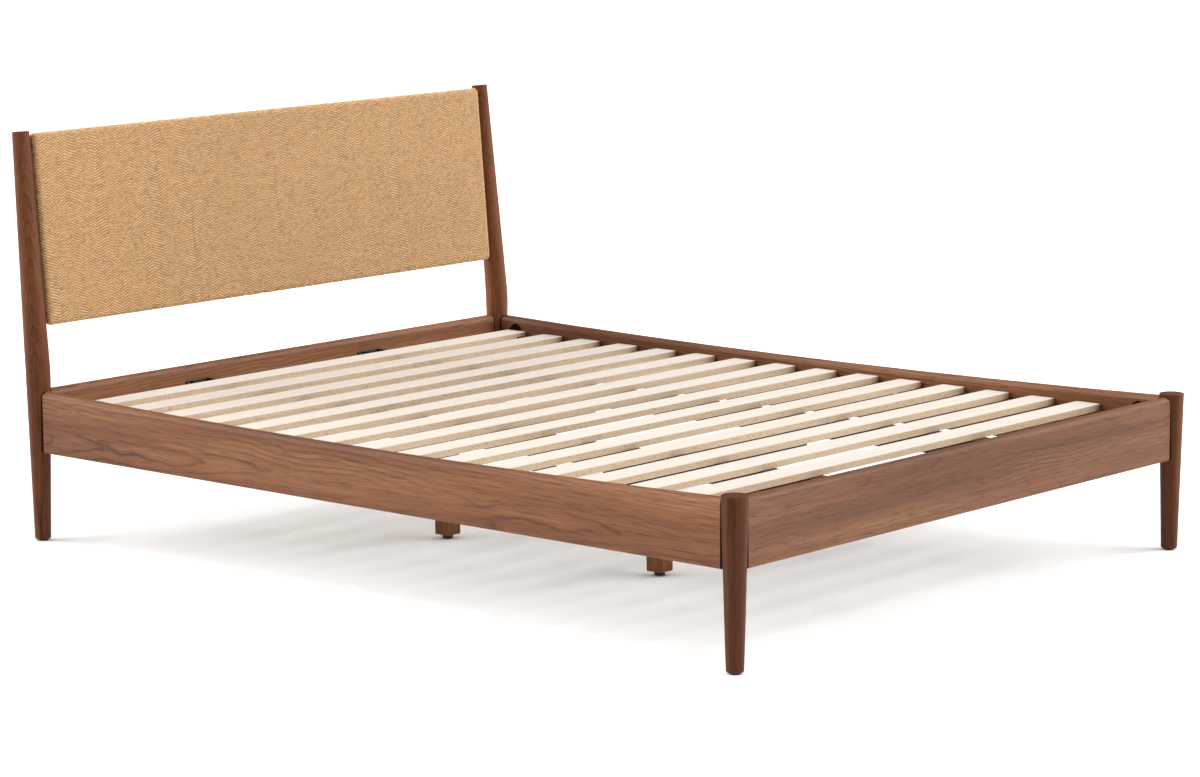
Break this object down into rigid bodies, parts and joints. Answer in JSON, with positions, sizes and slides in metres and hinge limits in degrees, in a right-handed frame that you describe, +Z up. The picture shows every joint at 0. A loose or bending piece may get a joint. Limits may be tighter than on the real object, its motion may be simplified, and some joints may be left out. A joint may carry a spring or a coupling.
{
  "type": "rope bed",
  "caption": "Low wooden bed frame with tapered round posts, a slatted base and a raked headboard panel woven in cord",
  "frame": {"origin": "on the floor, under the middle of the bed's bounding box", "axes": "+X across the bed, to the right as seen from its foot, +Y towards the headboard, +Z up"},
  "size_m": [1.615, 2.1616, 0.9475],
  "materials": {
    "post_wood": "reddish brown walnut, satin",
    "rail_wood": "reddish brown walnut, satin",
    "ledger_wood": "brown stained wood, satin",
    "leg_wood": "brown stained wood, satin",
    "slat_wood": "pale planed softwood, unfinished",
    "beam_wood": "pale planed wood, unfinished",
    "dowel_wood": "beech, unfinished",
    "cord": "golden twisted cord, woven in a zigzag",
    "black_steel": "black powder coat",
    "zinc": "zinc plated",
    "black_plastic": "black, matt"
  },
  "bodies": {
    "bed_frame": {"head_post_left": "post_wood", "head_post_right": "post_wood", "foot_post_left": "post_wood", "foot_post_right": "post_wood", "head_rail": "rail_wood", "foot_rail": "rail_wood", "side_rail_left": "rail_wood", "side_rail_right": "rail_wood", "slat_ledger_left": "ledger_wood", "slat_ledger_right": "ledger_wood", "slat_01": "slat_wood", "slat_02": "slat_wood", "slat_03": "slat_wood", "slat_04": "slat_wood", "slat_05": "slat_wood", "slat_06": "slat_wood", "slat_07": "slat_wood", "slat_08": "slat_wood", "slat_09": "slat_wood", "slat_10": "slat_wood", "slat_11": "slat_wood", "slat_12": "slat_wood", "slat_13": "slat_wood", "slat_14": "slat_wood", "slat_15": "slat_wood", "slat_16": "slat_wood", "support_beam_left": "beam_wood", "support_beam_right": "beam_wood", "cross_bar_head": "beam_wood", "cross_bar_foot": "beam_wood", "support_leg_head_left": "leg_wood", "support_leg_head_right": "leg_wood", "support_leg_foot_left": "leg_wood", "support_leg_foot_right": "leg_wood", "leveller_inserts": "zinc", "beam_hanger_head_left": "black_steel", "beam_hanger_head_right": "black_steel", "beam_hanger_foot_left": "black_steel", "beam_hanger_foot_right": "black_steel", "hanger_screws": "zinc", "ledger_screws": "zinc", "cross_bar_screws": "zinc", "leg_bolts": "zinc", "side_rail_bolts": "zinc", "half_moon_washers": "zinc", "bolt_nuts": "zinc", "post_inserts": "zinc", "rail_dowels": "dowel_wood", "panel_top_rail": "beam_wood", "panel_bottom_rail": "beam_wood", "panel_stile_left": "beam_wood", "panel_stile_right": "beam_wood", "panel_centre_stile": "beam_wood", "woven_cord_panel": "cord", "panel_dowels": "dowel_wood", "post_glides": "black_plastic"},
    "glide_head_left": {"leveller_head_left": "black_plastic"},
    "glide_head_right": {"leveller_head_right": "black_plastic"},
    "glide_foot_left": {"leveller_foot_left": "black_plastic"},
    "glide_foot_right": {"leveller_foot_right": "black_plastic"}
  },
  "joints": [
    {"name": "level_head_left", "type": "slide", "parent": "bed_frame", "child": "glide_head_left", "axis": [0, 0, 1], "range_m": [-0.01, 0.0035]},
    {"name": "level_head_right", "type": "slide", "parent": "bed_frame", "child": "glide_head_right", "axis": [0, 0, 1], "range_m": [-0.01, 0.0035]},
    {"name": "level_foot_left", "type": "slide", "parent": "bed_frame", "child": "glide_foot_left", "axis": [0, 0, 1], "range_m": [-0.01, 0.0035]},
    {"name": "level_foot_right", "type": "slide", "parent": "bed_frame", "child": "glide_foot_right", "axis": [0, 0, 1], "range_m": [-0.01, 0.0035]}
  ]
}
